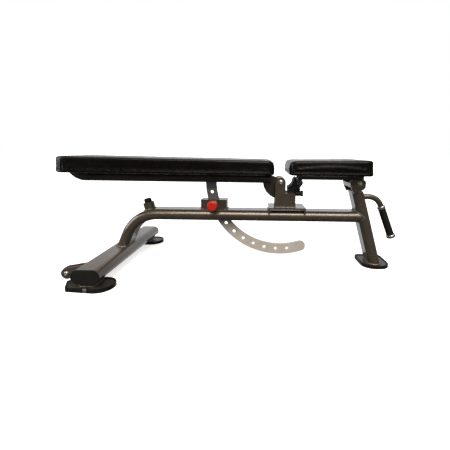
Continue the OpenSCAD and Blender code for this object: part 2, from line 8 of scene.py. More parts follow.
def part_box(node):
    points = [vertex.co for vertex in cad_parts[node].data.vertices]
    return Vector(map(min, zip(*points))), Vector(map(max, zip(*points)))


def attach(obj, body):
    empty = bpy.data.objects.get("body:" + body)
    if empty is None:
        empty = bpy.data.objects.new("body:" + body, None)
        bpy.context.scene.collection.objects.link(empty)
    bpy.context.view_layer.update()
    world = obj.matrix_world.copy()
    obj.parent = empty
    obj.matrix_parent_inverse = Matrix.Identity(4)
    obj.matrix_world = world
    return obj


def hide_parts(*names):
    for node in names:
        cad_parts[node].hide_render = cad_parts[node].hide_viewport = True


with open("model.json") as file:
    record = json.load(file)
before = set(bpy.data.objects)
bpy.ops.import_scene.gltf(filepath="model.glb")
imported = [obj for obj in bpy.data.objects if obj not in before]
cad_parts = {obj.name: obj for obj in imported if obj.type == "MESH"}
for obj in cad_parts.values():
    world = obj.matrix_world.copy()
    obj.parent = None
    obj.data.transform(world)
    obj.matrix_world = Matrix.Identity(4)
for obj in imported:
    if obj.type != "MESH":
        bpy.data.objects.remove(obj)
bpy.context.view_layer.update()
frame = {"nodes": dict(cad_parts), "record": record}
scene = bpy.context.scene

# Row-frame sizes, in metres, that the detail pieces share with the CAD.
CROSS_X, CROSS_Z, CROSS_R = -0.487, 0.050, 0.025
SPINE_Z, SPINE_T, SPINE_W = 0.215, 0.046, 0.100
BEND_X, BEND_R, BEND_DEG = -0.329, 0.137, 68.0
LEG_X, LEG_LEAN, LEG_T = 0.6195, math.radians(15.1), 0.048
BACK_PIVOT = (0.202, 0.363)
SEAT_PIVOT = (0.531, 0.362)
LINK_PIVOT = (0.283, 0.358)
HANDLE_X, HANDLE_Z, HANDLE_BEND, HANDLE_DROP = 0.589, 0.300, 0.060, math.radians(69.3)
ARC_R, PIN_DEG = 0.301, 19.35
PIN = (BACK_PIVOT[0] - ARC_R * math.cos(math.radians(PIN_DEG)),
       BACK_PIVOT[1] - ARC_R * math.sin(math.radians(PIN_DEG)))
HOUSING_ENDS = (-0.1395, -0.0275)
SADDLE_ENDS = (0.1502, 0.3088)
WHEEL_X, WHEEL_BOLT_Y, WHEEL_Z = -0.583, 0.2463, 0.0405
POST_TOP, POST_LEAN = (-0.3755, 0, 0.262), math.radians(14.5)

# Upholstery: height of the seam over the underside, voxel of the remesh, and the length of the simulation.
SEAM_UP = 0.013
VOXEL = 0.0052
CLOTH_FRAMES = 20


# ---------------------------------------------------------------- camera, floor and light
def make_camera():
    data = bpy.data.cameras.new("camera")
    data.sensor_width = 36.0
    data.lens = 23.327
    data.shift_x = -0.0766
    data.shift_y = -0.1072
    data.clip_start = 0.01
    data.clip_end = 100.0
    cam = bpy.data.objects.new("camera", data)
    scene.collection.objects.link(cam)
    turn = Matrix.Rotation(math.radians(85.0), 4, "X") @ Matrix.Rotation(math.radians(0.80), 4, "Z")
    cam.matrix_world = Matrix.Translation((0.111, -1.267, 0.4914)) @ turn
    scene.camera = cam


def area_light(name, loc, target, size, power, colour):
    data = bpy.data.lights.new(name, "AREA")
    data.shape = "RECTANGLE"
    data.size, data.size_y = size
    data.energy = power
    data.color = colour
    light = bpy.data.objects.new(name, data)
    scene.collection.objects.link(light)
    light.location = loc
    direction = Vector(target) - Vector(loc)
    light.rotation_euler = direction.to_track_quat("-Z", "Y").to_euler()
    return light


def make_stage():
    mesh = bpy.data.meshes.new("floor")
    s = 30.0
    mesh.from_pydata([(-s, -s, 0), (s, -s, 0), (s, s, 0), (-s, s, 0)], [], [(0, 1, 2, 3)])
    floor = bpy.data.objects.new("floor", mesh)
    scene.collection.objects.link(floor)
    mat = bpy.data.materials.new("floor_white")
    mat.use_nodes = True
    nt = mat.node_tree
    nt.nodes.clear()
    out = nt.nodes.new("ShaderNodeOutputMaterial")
    add = nt.nodes.new("ShaderNodeAddShader")
    diff = nt.nodes.new("ShaderNodeBsdfDiffuse")
    emit = nt.nodes.new("ShaderNodeEmission")
    diff.inputs["Color"].default_value = (0.9, 0.9, 0.9, 1)
    emit.inputs["Color"].default_value = (1, 1, 1, 1)
    emit.inputs["Strength"].default_value = 0.62
    nt.links.new(diff.outputs[0], add.inputs[0])
    nt.links.new(emit.outputs[0], add.inputs[1])
    nt.links.new(add.outputs[0], out.inputs["Surface"])
    mesh.materials.append(mat)
    floor.visible_glossy = False
    floor.visible_diffuse = False

    world = bpy.data.worlds.new("world")
    scene.world = world
    world.use_nodes = True
    nt = world.node_tree
    nt.nodes.clear()
    out = nt.nodes.new("ShaderNodeOutputWorld")
    mix = nt.nodes.new("ShaderNodeMixShader")
    path = nt.nodes.new("ShaderNodeLightPath")
    seen = nt.nodes.new("ShaderNodeBackground")
    lit = nt.nodes.new("ShaderNodeBackground")
    seen.inputs["Color"].default_value = (1, 1, 1, 1)
    seen.inputs["Strength"].default_value = 1.0
    coord = nt.nodes.new("ShaderNodeTexCoord")
    split = nt.nodes.new("ShaderNodeSeparateXYZ")
    ramp = nt.nodes.new("ShaderNodeValToRGB")
    nt.links.new(coord.outputs["Generated"], split.inputs[0])
    half = nt.nodes.new("ShaderNodeMath")
    half.operation = "MULTIPLY_ADD"
    half.inputs[1].default_value = 0.5
    half.inputs[2].default_value = 0.5
    nt.links.new(split.outputs["Z"], half.inputs[0])
    nt.links.new(half.outputs[0], ramp.inputs["Fac"])
    cr = ramp.color_ramp
    cr.elements[0].position = 0.0
    cr.elements[0].color = (0.10, 0.10, 0.10, 1)
    cr.elements[1].position = 1.0
    cr.elements[1].color = (0.80, 0.74, 0.67, 1)
    for pos, col in ((0.5, (0.11, 0.10, 0.095, 1)), (0.60, (0.15, 0.135, 0.12, 1)),
                     (0.78, (0.62, 0.56, 0.49, 1))):
        e = cr.elements.new(pos)
        e.color = col
    behind = nt.nodes.new("ShaderNodeMapRange")
    behind.inputs["From Min"].default_value = 0.70
    behind.inputs["From Max"].default_value = 0.93
    nt.links.new(split.outputs["Y"], behind.inputs["Value"])
    sky = nt.nodes.new("ShaderNodeMix")
    sky.data_type = "RGBA"
    sky.inputs["B"].default_value = (0.90, 0.92, 0.95, 1)
    nt.links.new(behind.outputs["Result"], sky.inputs["Factor"])
    nt.links.new(ramp.outputs["Color"], sky.inputs["A"])
    nt.links.new(sky.outputs["Result"], lit.inputs["Color"])
    lit.inputs["Strength"].default_value = 1.0
    nt.links.new(path.outputs["Is Camera Ray"], mix.inputs["Fac"])
    nt.links.new(lit.outputs[0], mix.inputs[1])
    nt.links.new(seen.outputs[0], mix.inputs[2])
    nt.links.new(mix.outputs[0], out.inputs["Surface"])

    sun = bpy.data.lights.new("sun", "SUN")
    sun.energy = 2.7
    sun.angle = math.radians(40)
    sun_obj = bpy.data.objects.new("sun", sun)
    scene.collection.objects.link(sun_obj)
    sun_obj.rotation_euler = Vector((-0.05, 0.55, -0.80)).to_track_quat("-Z", "Y").to_euler()
    area_light("left_cool", (-2.6, -0.6, 1.1), (0.2, 0, 0.2), (1.6, 1.6), 34, (0.86, 0.92, 1.0))
    area_light("front_strip", (0.1, -2.2, 1.6), (0.1, 0, 0.2), (3.0, 0.15), 25, (1.0, 0.78, 0.45))
    area_light("front_fill", (0.7, -3.0, 1.3), (0.1, 0, 0.2), (2.2, 1.2), 6, (1.0, 0.95, 0.88))

    scene.view_settings.view_transform = "Standard"
    scene.view_settings.look = "None"


# ---------------------------------------------------------------- materials
class Nodes:
    """Small helper for building a Principled material."""

    def __init__(self, name):
        self.mat = bpy.data.materials.new(name)
        self.mat.use_nodes = True
        self.nt = self.mat.node_tree
        self.bsdf = self.nt.nodes["Principled BSDF"]
        self.coord = self.nt.nodes.new("ShaderNodeTexCoord")

    def set(self, **values):
        for key, value in values.items():
            self.bsdf.inputs[key.replace("_", " ")].default_value = value

    def link(self, a, b):
        self.nt.links.new(a, b)

    def mapped(self, scale=(1, 1, 1), rot=(0, 0, 0)):
        m = self.nt.nodes.new("ShaderNodeMapping")
        m.inputs["Scale"].default_value = scale
        m.inputs["Rotation"].default_value = rot
        self.link(self.coord.outputs["Object"], m.inputs["Vector"])
        return m.outputs["Vector"]

    def noise(self, scale, detail=2.0, rough=0.5, vector=None):
        n = self.nt.nodes.new("ShaderNodeTexNoise")
        n.inputs["Scale"].default_value = scale
        n.inputs["Detail"].default_value = detail
        n.inputs["Roughness"].default_value = rough
        self.link(vector or self.coord.outputs["Object"], n.inputs["Vector"])
        return n.outputs["Fac"]

    def voronoi(self, scale, vector=None, feature="F1"):
        n = self.nt.nodes.new("ShaderNodeTexVoronoi")
        n.feature = feature
        n.inputs["Scale"].default_value = scale
        self.link(vector or self.coord.outputs["Object"], n.inputs["Vector"])
        return n.outputs["Distance"]

    def ramp(self, fac, stops):
        r = self.nt.nodes.new("ShaderNodeValToRGB")
        els = r.color_ramp.elements
        els[0].position, els[0].color = stops[0][0], stops[0][1]
        els[1].position, els[1].color = stops[-1][0], stops[-1][1]
        for pos, col in stops[1:-1]:
            e = els.new(pos)
            e.color = col
        self.link(fac, r.inputs["Fac"])
        return r.outputs["Color"]

    def mix(self, fac, a, b):
        m = self.nt.nodes.new("ShaderNodeMix")
        m.data_type = "RGBA"
        if isinstance(fac, float):
            m.inputs["Factor"].default_value = fac
        else:
            self.link(fac, m.inputs["Factor"])
        for sock, v in ((m.inputs["A"], a), (m.inputs["B"], b)):
            if isinstance(v, tuple):
                sock.default_value = v
            else:
                self.link(v, sock)
        return m.outputs["Result"]

    def range(self, fac, lo, hi, out_lo, out_hi):
        m = self.nt.nodes.new("ShaderNodeMapRange")
        for i, v in enumerate((lo, hi, out_lo, out_hi)):
            m.inputs[i + 1].default_value = v
        self.link(fac, m.inputs["Value"])
        return m.outputs["Result"]

    def bump(self, heights):
        last = None
        for fac, strength, dist in heights:
            b = self.nt.nodes.new("ShaderNodeBump")
            b.inputs["Strength"].default_value = strength
            b.inputs["Distance"].default_value = dist
            self.link(fac, b.inputs["Height"])
            if last is not None:
                self.link(last, b.inputs["Normal"])
            last = b.outputs["Normal"]
        self.link(last, self.bsdf.inputs["Normal"])

    def edge_wear(self, colour_in, worn, amount):
        """Lighter paint on convex edges, broken up by noise."""
        geo = self.nt.nodes.new("ShaderNodeNewGeometry")
        edge = self.range(geo.outputs["Pointiness"], 0.56, 0.66, 0.0, amount)
        spots = self.noise(160.0, 4.0, 0.6)
        mul = self.nt.nodes.new("ShaderNodeMath")
        mul.operation = "MULTIPLY"
        self.link(edge, mul.inputs[0])
        self.link(spots, mul.inputs[1])
        return self.mix(mul.outputs[0], colour_in, worn)


def rgb(r, g, b):
    return (r, g, b, 1.0)


def paint(name, dark, light, metallic, rough, coat, flake=0.5):
    n = Nodes(name)
    n.set(Metallic=metallic)
    n.set(Coat_Weight=coat, Coat_Roughness=0.12)
    cloud = n.noise(7.0, 3.0, 0.6)
    base = n.ramp(cloud, [(0.3, dark), (0.7, light)])
    fleck = n.voronoi(2600.0)
    fleck_mask = n.range(fleck, 0.0, 0.35, flake * 0.35, 0.0)
    base = n.mix(fleck_mask, base, tuple(min(1.0, c * 2.6) for c in light[:3]) + (1.0,))
    base = n.edge_wear(base, tuple(min(1.0, c * 1.6) for c in light[:3]) + (1.0,), 0.22)
    n.link(base, n.bsdf.inputs["Base Color"])
    n.link(n.range(n.noise(55.0, 4.0, 0.6), 0.3, 0.7, rough - 0.02, rough + 0.04), n.bsdf.inputs["Roughness"])
    n.bump([(n.noise(900.0, 2.0), 0.02, 0.0002), (n.noise(60.0, 2.0), 0.012, 0.001)])
    return n.mat


def rubber(name, dark, light, rough):
    n = Nodes(name)
    n.set(Specular_IOR_Level=0.25)
    n.link(n.ramp(n.noise(35.0, 5.0, 0.65), [(0.35, dark), (0.75, light)]), n.bsdf.inputs["Base Color"])
    n.link(n.range(n.noise(90.0, 3.0), 0.3, 0.7, rough - 0.08, rough + 0.1), n.bsdf.inputs["Roughness"])
    n.bump([(n.noise(900.0, 3.0, 0.6), 0.25, 0.0003)])
    return n.mat


def steel(name, dark, light, rough, stretch, metallic=1.0, painted_top_shade=None):
    n = Nodes(name)
    n.set(Metallic=metallic)
    brushed = n.noise(220.0, 4.0, 0.65, n.mapped(stretch))
    blotch = n.noise(18.0, 4.0, 0.6)
    base = n.mix(n.range(blotch, 0.35, 0.7, 0.0, 1.0), dark, light)
    base = n.edge_wear(base, rgb(0.9, 0.88, 0.84), 0.35)
    # Painted shade: the base colour fades to a dark bluish colour with height between the two given Z values.
    # It stands in for the shade and dark reflection at the part's top.
    if painted_top_shade:
        split = n.nt.nodes.new("ShaderNodeSeparateXYZ")
        n.link(n.coord.outputs["Object"], split.inputs[0])
        base = n.mix(n.range(split.outputs["Z"], painted_top_shade[0], painted_top_shade[1], 0.0, 0.85), base, painted_top_shade[2])
    n.link(base, n.bsdf.inputs["Base Color"])
    n.link(n.range(brushed, 0.3, 0.75, rough - 0.07, rough + 0.12), n.bsdf.inputs["Roughness"])
    n.bump([(brushed, 0.08, 0.0003)])
    return n.mat


def vinyl():
    n = Nodes("pad_vinyl")
    n.set(Specular_IOR_Level=0.16, Coat_Weight=0.05, Coat_Roughness=0.14)
    cloud = n.noise(9.0, 3.0, 0.55)
    n.link(n.ramp(cloud, [(0.3, rgb(0.0010, 0.0010, 0.0011)), (0.75, rgb(0.0026, 0.0023, 0.0020))]),
           n.bsdf.inputs["Base Color"])
    grain = n.voronoi(1150.0, feature="SMOOTH_F1")
    pores = n.noise(2600.0, 2.0)
    n.link(n.range(n.noise(40.0, 3.0), 0.3, 0.7, 0.22, 0.36), n.bsdf.inputs["Roughness"])
    n.bump([(grain, 0.16, 0.0004), (pores, 0.05, 0.0002), (n.noise(28.0, 2.0), 0.14, 0.003)])
    return n.mat


def plywood():
    n = Nodes("board_plywood")
    n.set(Specular_IOR_Level=0.3)
    grain = n.noise(30.0, 6.0, 0.7, n.mapped((1.0, 14.0, 14.0)))
    base = n.ramp(grain, [(0.3, rgb(0.33, 0.20, 0.10)), (0.55, rgb(0.52, 0.35, 0.19)),
                          (0.75, rgb(0.62, 0.45, 0.27))])
    n.link(base, n.bsdf.inputs["Base Color"])
    n.set(Roughness=0.75)
    n.bump([(grain, 0.2, 0.0005)])
    return n.mat


def knob_plastic():
    n = Nodes("knob_red_plastic")
    n.set(Coat_Weight=0.2, Coat_Roughness=0.15)
    n.link(n.ramp(n.noise(60.0, 3.0), [(0.3, rgb(0.38, 0.008, 0.002)), (0.7, rgb(0.48, 0.013, 0.004))]),
           n.bsdf.inputs["Base Color"])
    n.link(n.range(n.noise(150.0, 3.0), 0.3, 0.7, 0.30, 0.45), n.bsdf.inputs["Roughness"])
    n.bump([(n.noise(700.0, 2.0), 0.12, 0.0003)])
    return n.mat


MATS = {
    "frame_paint": paint("frame_powder_coat", rgb(0.082, 0.068, 0.054), rgb(0.112, 0.094, 0.077),
                         0.60, 0.26, 0.45, 0.12),
    "moving_paint": paint("dark_powder_coat", rgb(0.030, 0.026, 0.023), rgb(0.055, 0.047, 0.041),
                          0.5, 0.32, 0.3, 0.12),
    "link_paint": paint("link_gloss_paint", rgb(0.006, 0.007, 0.012), rgb(0.012, 0.014, 0.024),
                        0.3, 0.22, 0.6, 0.2),
    "foot_plate_paint": paint("foot_plate_satin", rgb(0.030, 0.028, 0.023), rgb(0.058, 0.053, 0.043),
                              0.5, 0.36, 0.2, 0.12),
    "black_rubber": rubber("black_rubber", rgb(0.004, 0.004, 0.004), rgb(0.011, 0.0105, 0.010), 0.50),
    "wheel_rubber": rubber("wheel_rubber", rgb(0.012, 0.012, 0.013), rgb(0.035, 0.034, 0.033), 0.62),
    "cap_plastic": rubber("cap_plastic", rgb(0.005, 0.005, 0.0045), rgb(0.010, 0.0095, 0.0085), 0.58),
    "zinc_steel": steel("zinc_plated_steel", rgb(0.52, 0.51, 0.48), rgb(0.72, 0.70, 0.66), 0.26, (1, 6, 1)),
    # The arc's base colour carries painted shade: darker and bluish towards its top.
    "arc_steel": steel("arc_bare_steel", rgb(0.60, 0.565, 0.52), rgb(0.72, 0.675, 0.62),
                       0.38, (1, 1, 1), 0.45,
                       painted_top_shade=(0.10, 0.25, rgb(0.105, 0.125, 0.165))),
    "chrome_trim": steel("chrome_trim", rgb(0.74, 0.74, 0.74), rgb(0.86, 0.86, 0.86), 0.12, (1, 1, 3)),
    "red_knob": knob_plastic(),
    "bronze_bush": steel("bronze_bush", rgb(0.42, 0.28, 0.12), rgb(0.62, 0.44, 0.20), 0.35, (1, 8, 1)),
    "plywood": plywood(),
    "black_vinyl": vinyl(),
}
WELD = paint("weld_bead_paint", rgb(0.100, 0.086, 0.070), rgb(0.160, 0.138, 0.112), 0.6, 0.34, 0.3, 0.12)


def dress_cad():
    slot_of = {s["node"]: s["material_slot"] for s in frame["record"]["subparts"]}
    for name, obj in frame["nodes"].items():
        mat = MATS[slot_of[name]]
        for s in obj.material_slots:
            s.link = "OBJECT"
            s.material = mat


# ---------------------------------------------------------------- mesh helpers
def new_piece(name, verts, faces, mat, body, smooth=True):
    mesh = bpy.data.meshes.new(name)
    mesh.from_pydata([tuple(v) for v in verts], [], faces)
    mesh.update()
    bm = bmesh.new()
    bm.from_mesh(mesh)
    bmesh.ops.recalc_face_normals(bm, faces=bm.faces)
    bm.to_mesh(mesh)
    bm.free()
    for p in mesh.polygons:
        p.use_smooth = smooth
    mesh.materials.append(mat)
    obj = bpy.data.objects.new(name, mesh)
    scene.collection.objects.link(obj)
    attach(obj, body)
    return obj


def tube_mesh(path, radius, sides=10, closed=False, ripple=0.0, pitch=0.004):
    """Tube along path; radius swells every pitch metres when ripple is set. Returns verts and faces."""
    pts = [Vector(p) for p in path]
    n = len(pts)
    verts, faces = [], []
    travelled = 0.0
    up = None
    for i, p in enumerate(pts):
        a = pts[(i - 1) % n] if closed or i > 0 else pts[i]
        b = pts[(i + 1) % n] if closed or i < n - 1 else pts[i]
        t = (b - a).normalized()
        if up is None:
            up = t.orthogonal().normalized()
        up = (up - t * up.dot(t)).normalized()
        side = t.cross(up)
        if i > 0:
            travelled += (p - pts[i - 1]).length
        r = radius * (1.0 + ripple * abs(math.sin(math.pi * travelled / pitch)))
        for k in range(sides):
            ang = 2 * math.pi * k / sides
            verts.append(p + (up * math.cos(ang) + side * math.sin(ang)) * r)
    rings = n if closed else n - 1
    for i in range(rings):
        for k in range(sides):
            a = i * sides + k
            b = i * sides + (k + 1) % sides
            c = ((i + 1) % n) * sides + (k + 1) % sides
            d = ((i + 1) % n) * sides + k
            faces.append((a, b, c, d))
    if not closed:
        faces.append(tuple(range(sides))[::-1])
        faces.append(tuple((n - 1) * sides + k for k in range(sides)))
    return verts, faces


def resample(path, step, closed=False):
    """Points every step metres along a polyline."""
    pts = [Vector(p) for p in path]
    if closed:
        pts.append(pts[0])
    out = [pts[0].copy()]
    left = step
    for a, b in zip(pts, pts[1:]):
        seg = (b - a).length
        pos = left
        while pos < seg:
            out.append(a.lerp(b, pos / seg))
            pos += step
        left = pos - seg
    if not closed:
        out.append(pts[-1].copy())
    return out


def join_parts(parts):
    verts, faces = [], []
    for v, f in parts:
        base = len(verts)
        verts += v
        faces += [tuple(i + base for i in q) for q in f]
    return verts, faces


def lathe(profile, centre, axis, sides=48):
    """Closed solid turned from (radius, along) points about axis through centre."""
    axis = Vector(axis).normalized()
    u = axis.orthogonal().normalized()
    w = axis.cross(u)
    verts, faces = [], []
    for r, h in profile:
        for k in range(sides):
            ang = 2 * math.pi * k / sides
            verts.append(Vector(centre) + axis * h + (u * math.cos(ang) + w * math.sin(ang)) * r)
    for i in range(len(profile) - 1):
        for k in range(sides):
            a = i * sides + k
            b = i * sides + (k + 1) % sides
            faces.append((a, b, b + sides, a + sides))
    faces.append(tuple(range(sides))[::-1])
    faces.append(tuple((len(profile) - 1) * sides + k for k in range(sides)))
    return verts, faces


# ---------------------------------------------------------------- upholstery
def plan_ring(x0, x1, hw, r0, r1, inset0, inset, inset1, z):
    """Rounded rectangle at height z: corners r0 at x0 and r1 at x1, set in at x0, the sides and x1."""
    r0, r1 = max(r0 - inset, 0.004), max(r1 - inset, 0.004)
    x0, x1, hw = x0 + inset0, x1 - inset1, hw - inset
    pts = []
    corners = [(x1 - r1, hw - r1, 0, r1), (x0 + r0, hw - r0, 90, r0),
               (x0 + r0, -hw + r0, 180, r0), (x1 - r1, -hw + r1, 270, r1)]
    for cx, cy, a0, r in corners:
        for k in range(9):
            a = math.radians(a0 + 90 * k / 8)
            pts.append((cx + r * math.cos(a), cy + r * math.sin(a), z))
    return pts


def pad_shell(x0, x1, hw, z0, z1, r0, r1, facing, rise):
    """Upholstered pad before its cover is tightened.

    The end that faces the other pad is rounder on top, and the top rises by rise towards the other end.
    """
    slim = 0.0012
    sharp = 0.0065
    rows = [(0.034, z0 + 0.0035), (0.030, z0 - 0.0006), (0.006, z0 - 0.0008), (0.0012, z0 + 0.0010),
            (0.0002, z0 + 0.0050), (0.0004, z0 + 0.0100), (slim + 0.0008, z0 + 0.0130),
            (slim, z0 + 0.0160), (slim, z0 + 0.026), (slim, z1 - 0.0180)]
    rings = [(i, i, i, z) for i, z in rows]
    for k in range(1, 7):
        a = math.radians(15 * k)
        z = z1 - 0.0180 + 0.0170 * math.sin(a)
        soft = slim + 0.0165 * (1 - math.cos(a))
        depth = z1 - 0.0010 - z
        tight = slim
        if depth <= sharp:
            tight = slim + sharp - math.sqrt(max(sharp ** 2 - (sharp - depth) ** 2, 0.0))
        rings.append((tight if facing else soft, tight, soft if facing else tight, z))
    rings += [(0.030, 0.022, 0.030, z1 - 0.0004), (0.055, 0.050, 0.055, z1 + 0.0001),
              (0.085, 0.085, 0.085, z1 + 0.0003)]
    bm = bmesh.new()
    made = []
    for inset0, inset, inset1, z in rings:
        made.append([])
        for x, y, level in plan_ring(x0, x1, hw, r0, r1, inset0, inset, inset1, z):
            reach = (x1 - x if facing else x - x0) / (x1 - x0)
            up = max(0.0, (z - z0 - 0.020) / (z1 - z0 - 0.020))
            made[-1].append(bm.verts.new((x, y, level + rise * min(1.0, reach * 1.15) * up)))
    n = len(made[0])
    for a, b in zip(made, made[1:]):
        for k in range(n):
            bm.faces.new((a[k], a[(k + 1) % n], b[(k + 1) % n], b[k]))
    bm.faces.new(made[0][::-1])
    bm.faces.new(made[-1])
    bmesh.ops.recalc_face_normals(bm, faces=bm.faces)
    mesh = bpy.data.meshes.new("shell")
    bm.to_mesh(mesh)
    bm.free()
    return mesh


def tightened(mesh, z0, cap):
    """Voxel remesh, then cloth under a little pressure, with the underside and the seam held."""
    obj = bpy.data.objects.new("sim", mesh)
    scene.collection.objects.link(obj)
    rem = obj.modifiers.new("remesh", "REMESH")
    rem.mode = "VOXEL"
    rem.voxel_size = VOXEL
    rem.use_smooth_shade = True
    deps = bpy.context.evaluated_depsgraph_get()
    base = bpy.data.meshes.new_from_object(obj.evaluated_get(deps))
    obj.modifiers.clear()
    obj.data = base
    rest = [v.co.copy() for v in base.vertices]
    held = obj.vertex_groups.new(name="held")
    for v in base.vertices:
        if v.co.z < z0 + 0.005 or abs(v.co.z - (z0 + SEAM_UP)) < 0.0035:
            held.add([v.index], 1.0, "REPLACE")
    cloth = obj.modifiers.new("cloth", "CLOTH")
    cs = cloth.settings
    cs.quality = 5
    cs.mass = 0.4
    cs.tension_stiffness = 25
    cs.compression_stiffness = 25
    cs.shear_stiffness = 10
    cs.bending_stiffness = 4
    cs.use_pressure = True
    cs.uniform_pressure_force = 4.0
    cs.vertex_group_mass = "held"
    cs.effector_weights.gravity = 0.0
    cloth.collision_settings.use_collision = False
    cloth.point_cache.frame_start = 1
    cloth.point_cache.frame_end = CLOTH_FRAMES
    for f in range(1, CLOTH_FRAMES + 1):
        scene.frame_set(f)
    deps = bpy.context.evaluated_depsgraph_get()
    moved = bpy.data.meshes.new_from_object(obj.evaluated_get(deps))
    obj.modifiers.clear()
    obj.data = moved
    for v, r in zip(moved.vertices, rest):
        d = v.co - r
        if d.length > cap:
            v.co = r + d * (cap / d.length)
    scene.frame_set(1)
    sub = obj.modifiers.new("sub", "SUBSURF")
    sub.levels = sub.render_levels = 1
    deps = bpy.context.evaluated_depsgraph_get()
    fine = bpy.data.meshes.new_from_object(obj.evaluated_get(deps))
    obj.modifiers.clear()
    bpy.data.objects.remove(obj)
    return fine


def corner_angle(x, y, x0, x1, hw, r0, r1):
    """Angle round the nearest plan corner, or None on a straight stretch."""
    right = x > (x0 + x1) / 2
    r = r1 if right else r0
    cx = x1 - r if right else x0 + r
    cy = hw - r if y > 0 else -hw + r
    dx, dy = x - cx, y - cy
    if dx * (1 if right else -1) < -0.004 or dy * (1 if y > 0 else -1) < -0.004:
        return None
    return math.atan2(dy, dx)


def make_pad(name, node, body, r0, r1, facing, rise, cap):
    """Cushion that replaces a pad node. facing is 1 when the rounder end is at x1, and 0 at x0."""
    lo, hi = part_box(node)
    x0, x1, hw, z0, z1 = lo[0], hi[0], hi[1], lo[2] - 0.0004, hi[2]
    fine = tightened(pad_shell(x0, x1, hw, z0, z1, r0, r1, facing, rise), z0, cap)
    seam_z = z0 + SEAM_UP
    count = len(fine.vertices)
    places = [0.0] * (3 * count)
    normals = [0.0] * (3 * count)
    fine.vertices.foreach_get("co", places)
    fine.vertices.foreach_get("normal", normals)
    for i in range(count):
        x, y, z = places[3 * i:3 * i + 3]
        nx, ny, nz = normals[3 * i:3 * i + 3]
        if nz < -0.7:
            continue
        side = max(0.0, 1.0 - abs(nz) * 1.3)
        move = noise.noise(Vector((x * 9.0, y * 14.0, z * 40.0))) * 0.00045
        near_seam = z - seam_z
        if side > 0:
            move -= 0.0011 * math.exp(-(near_seam / 0.0024) ** 2) * side
            ang = corner_angle(x, y, x0, x1, hw, r0, r1)
            if ang is not None:
                move += 0.0008 * math.sin(ang * 20.0) * math.exp(-((near_seam - 0.006) / 0.020) ** 2) * side
            move -= (0.0006 * side * math.exp(-(near_seam / 0.008) ** 2)
                     * (0.5 + 0.5 * math.sin(x * 190.0 + y * 170.0)))
        places[3 * i] = x + nx * move
        places[3 * i + 1] = y + ny * move
        places[3 * i + 2] = z + nz * move
    fine.vertices.foreach_set("co", places)
    fine.update()
    obj = bpy.data.objects.new(name, fine)
    scene.collection.objects.link(obj)
    fine.materials.clear()
    fine.materials.append(MATS["black_vinyl"])
    for p in fine.polygons:
        p.use_smooth = True
    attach(obj, body)
    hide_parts(node)

    # Piping let into the seam, and a row of stitches above it.
    ring = resample(plan_ring(x0, x1, hw, r0, r1, 0.0006, 0.0006, 0.0006, seam_z), 0.006, closed=True)
    v, f = tube_mesh(ring, 0.0013, 8, closed=True)
    new_piece(name + "_piping", v, f, MATS["black_vinyl"], body)
    line = plan_ring(x0, x1, hw, r0, r1, 0.0011, 0.0011, 0.0011, seam_z + 0.0042)
    line = resample(line, 0.0052, closed=True)
    parts = []
    for a, b in zip(line, line[1:] + line[:1]):
        p, m, q = a.lerp(b, 0.18), a.lerp(b, 0.5), a.lerp(b, 0.82)
        out = Vector((m.x - max(min(m.x, x1 - 0.03), x0 + 0.03),
                      m.y - max(min(m.y, hw - 0.03), -hw + 0.03), 0))
        out = out.normalized() if out.length > 0 else Vector((0, 1, 0))
        parts.append(tube_mesh([p + out * 0.0001, m + out * 0.0005, q + out * 0.0001], 0.00038, 5))
    v, f = join_parts(parts)
    new_piece(name + "_stitches", v, f, MATS["link_paint"], body)


# ---------------------------------------------------------------- welds, bolts and small parts
def oval_points(w, t, count=72):
    """Points round a flat-oval section: (across, through)."""
    flat = (w - t) / 2
    r = t / 2
    total = 4 * flat + 2 * math.pi * r
    pts = []
    for i in range(count):
        s = total * i / count
        if s < 2 * flat:
            pts.append((-flat + s, r))
        elif s < 2 * flat + math.pi * r:
            a = (s - 2 * flat) / r
            pts.append((flat + r * math.sin(a), r * math.cos(a)))
        elif s < 4 * flat + math.pi * r:
            pts.append((flat - (s - 2 * flat - math.pi * r), -r))
        else:
            a = (s - 4 * flat - math.pi * r) / r
            pts.append((-flat - r * math.sin(a), -r * math.cos(a)))
    return pts


def leg_half(y):
    """Half thickness of the leg, along its own thickness, at y."""
    flat, r = 0.026, LEG_T / 2
    d = max(0.0, abs(y) - flat)
    return math.sqrt(max(r * r - d * d, 0.0))


def leg_face_x(y, z, side):
    return LEG_X - math.tan(LEG_LEAN) * z + side * leg_half(y) / math.cos(LEG_LEAN)


def bead(path, r=0.0026, closed=False):
    return tube_mesh(resample(path, 0.0011, closed), r, 8, closed, ripple=0.28, pitch=0.0042)


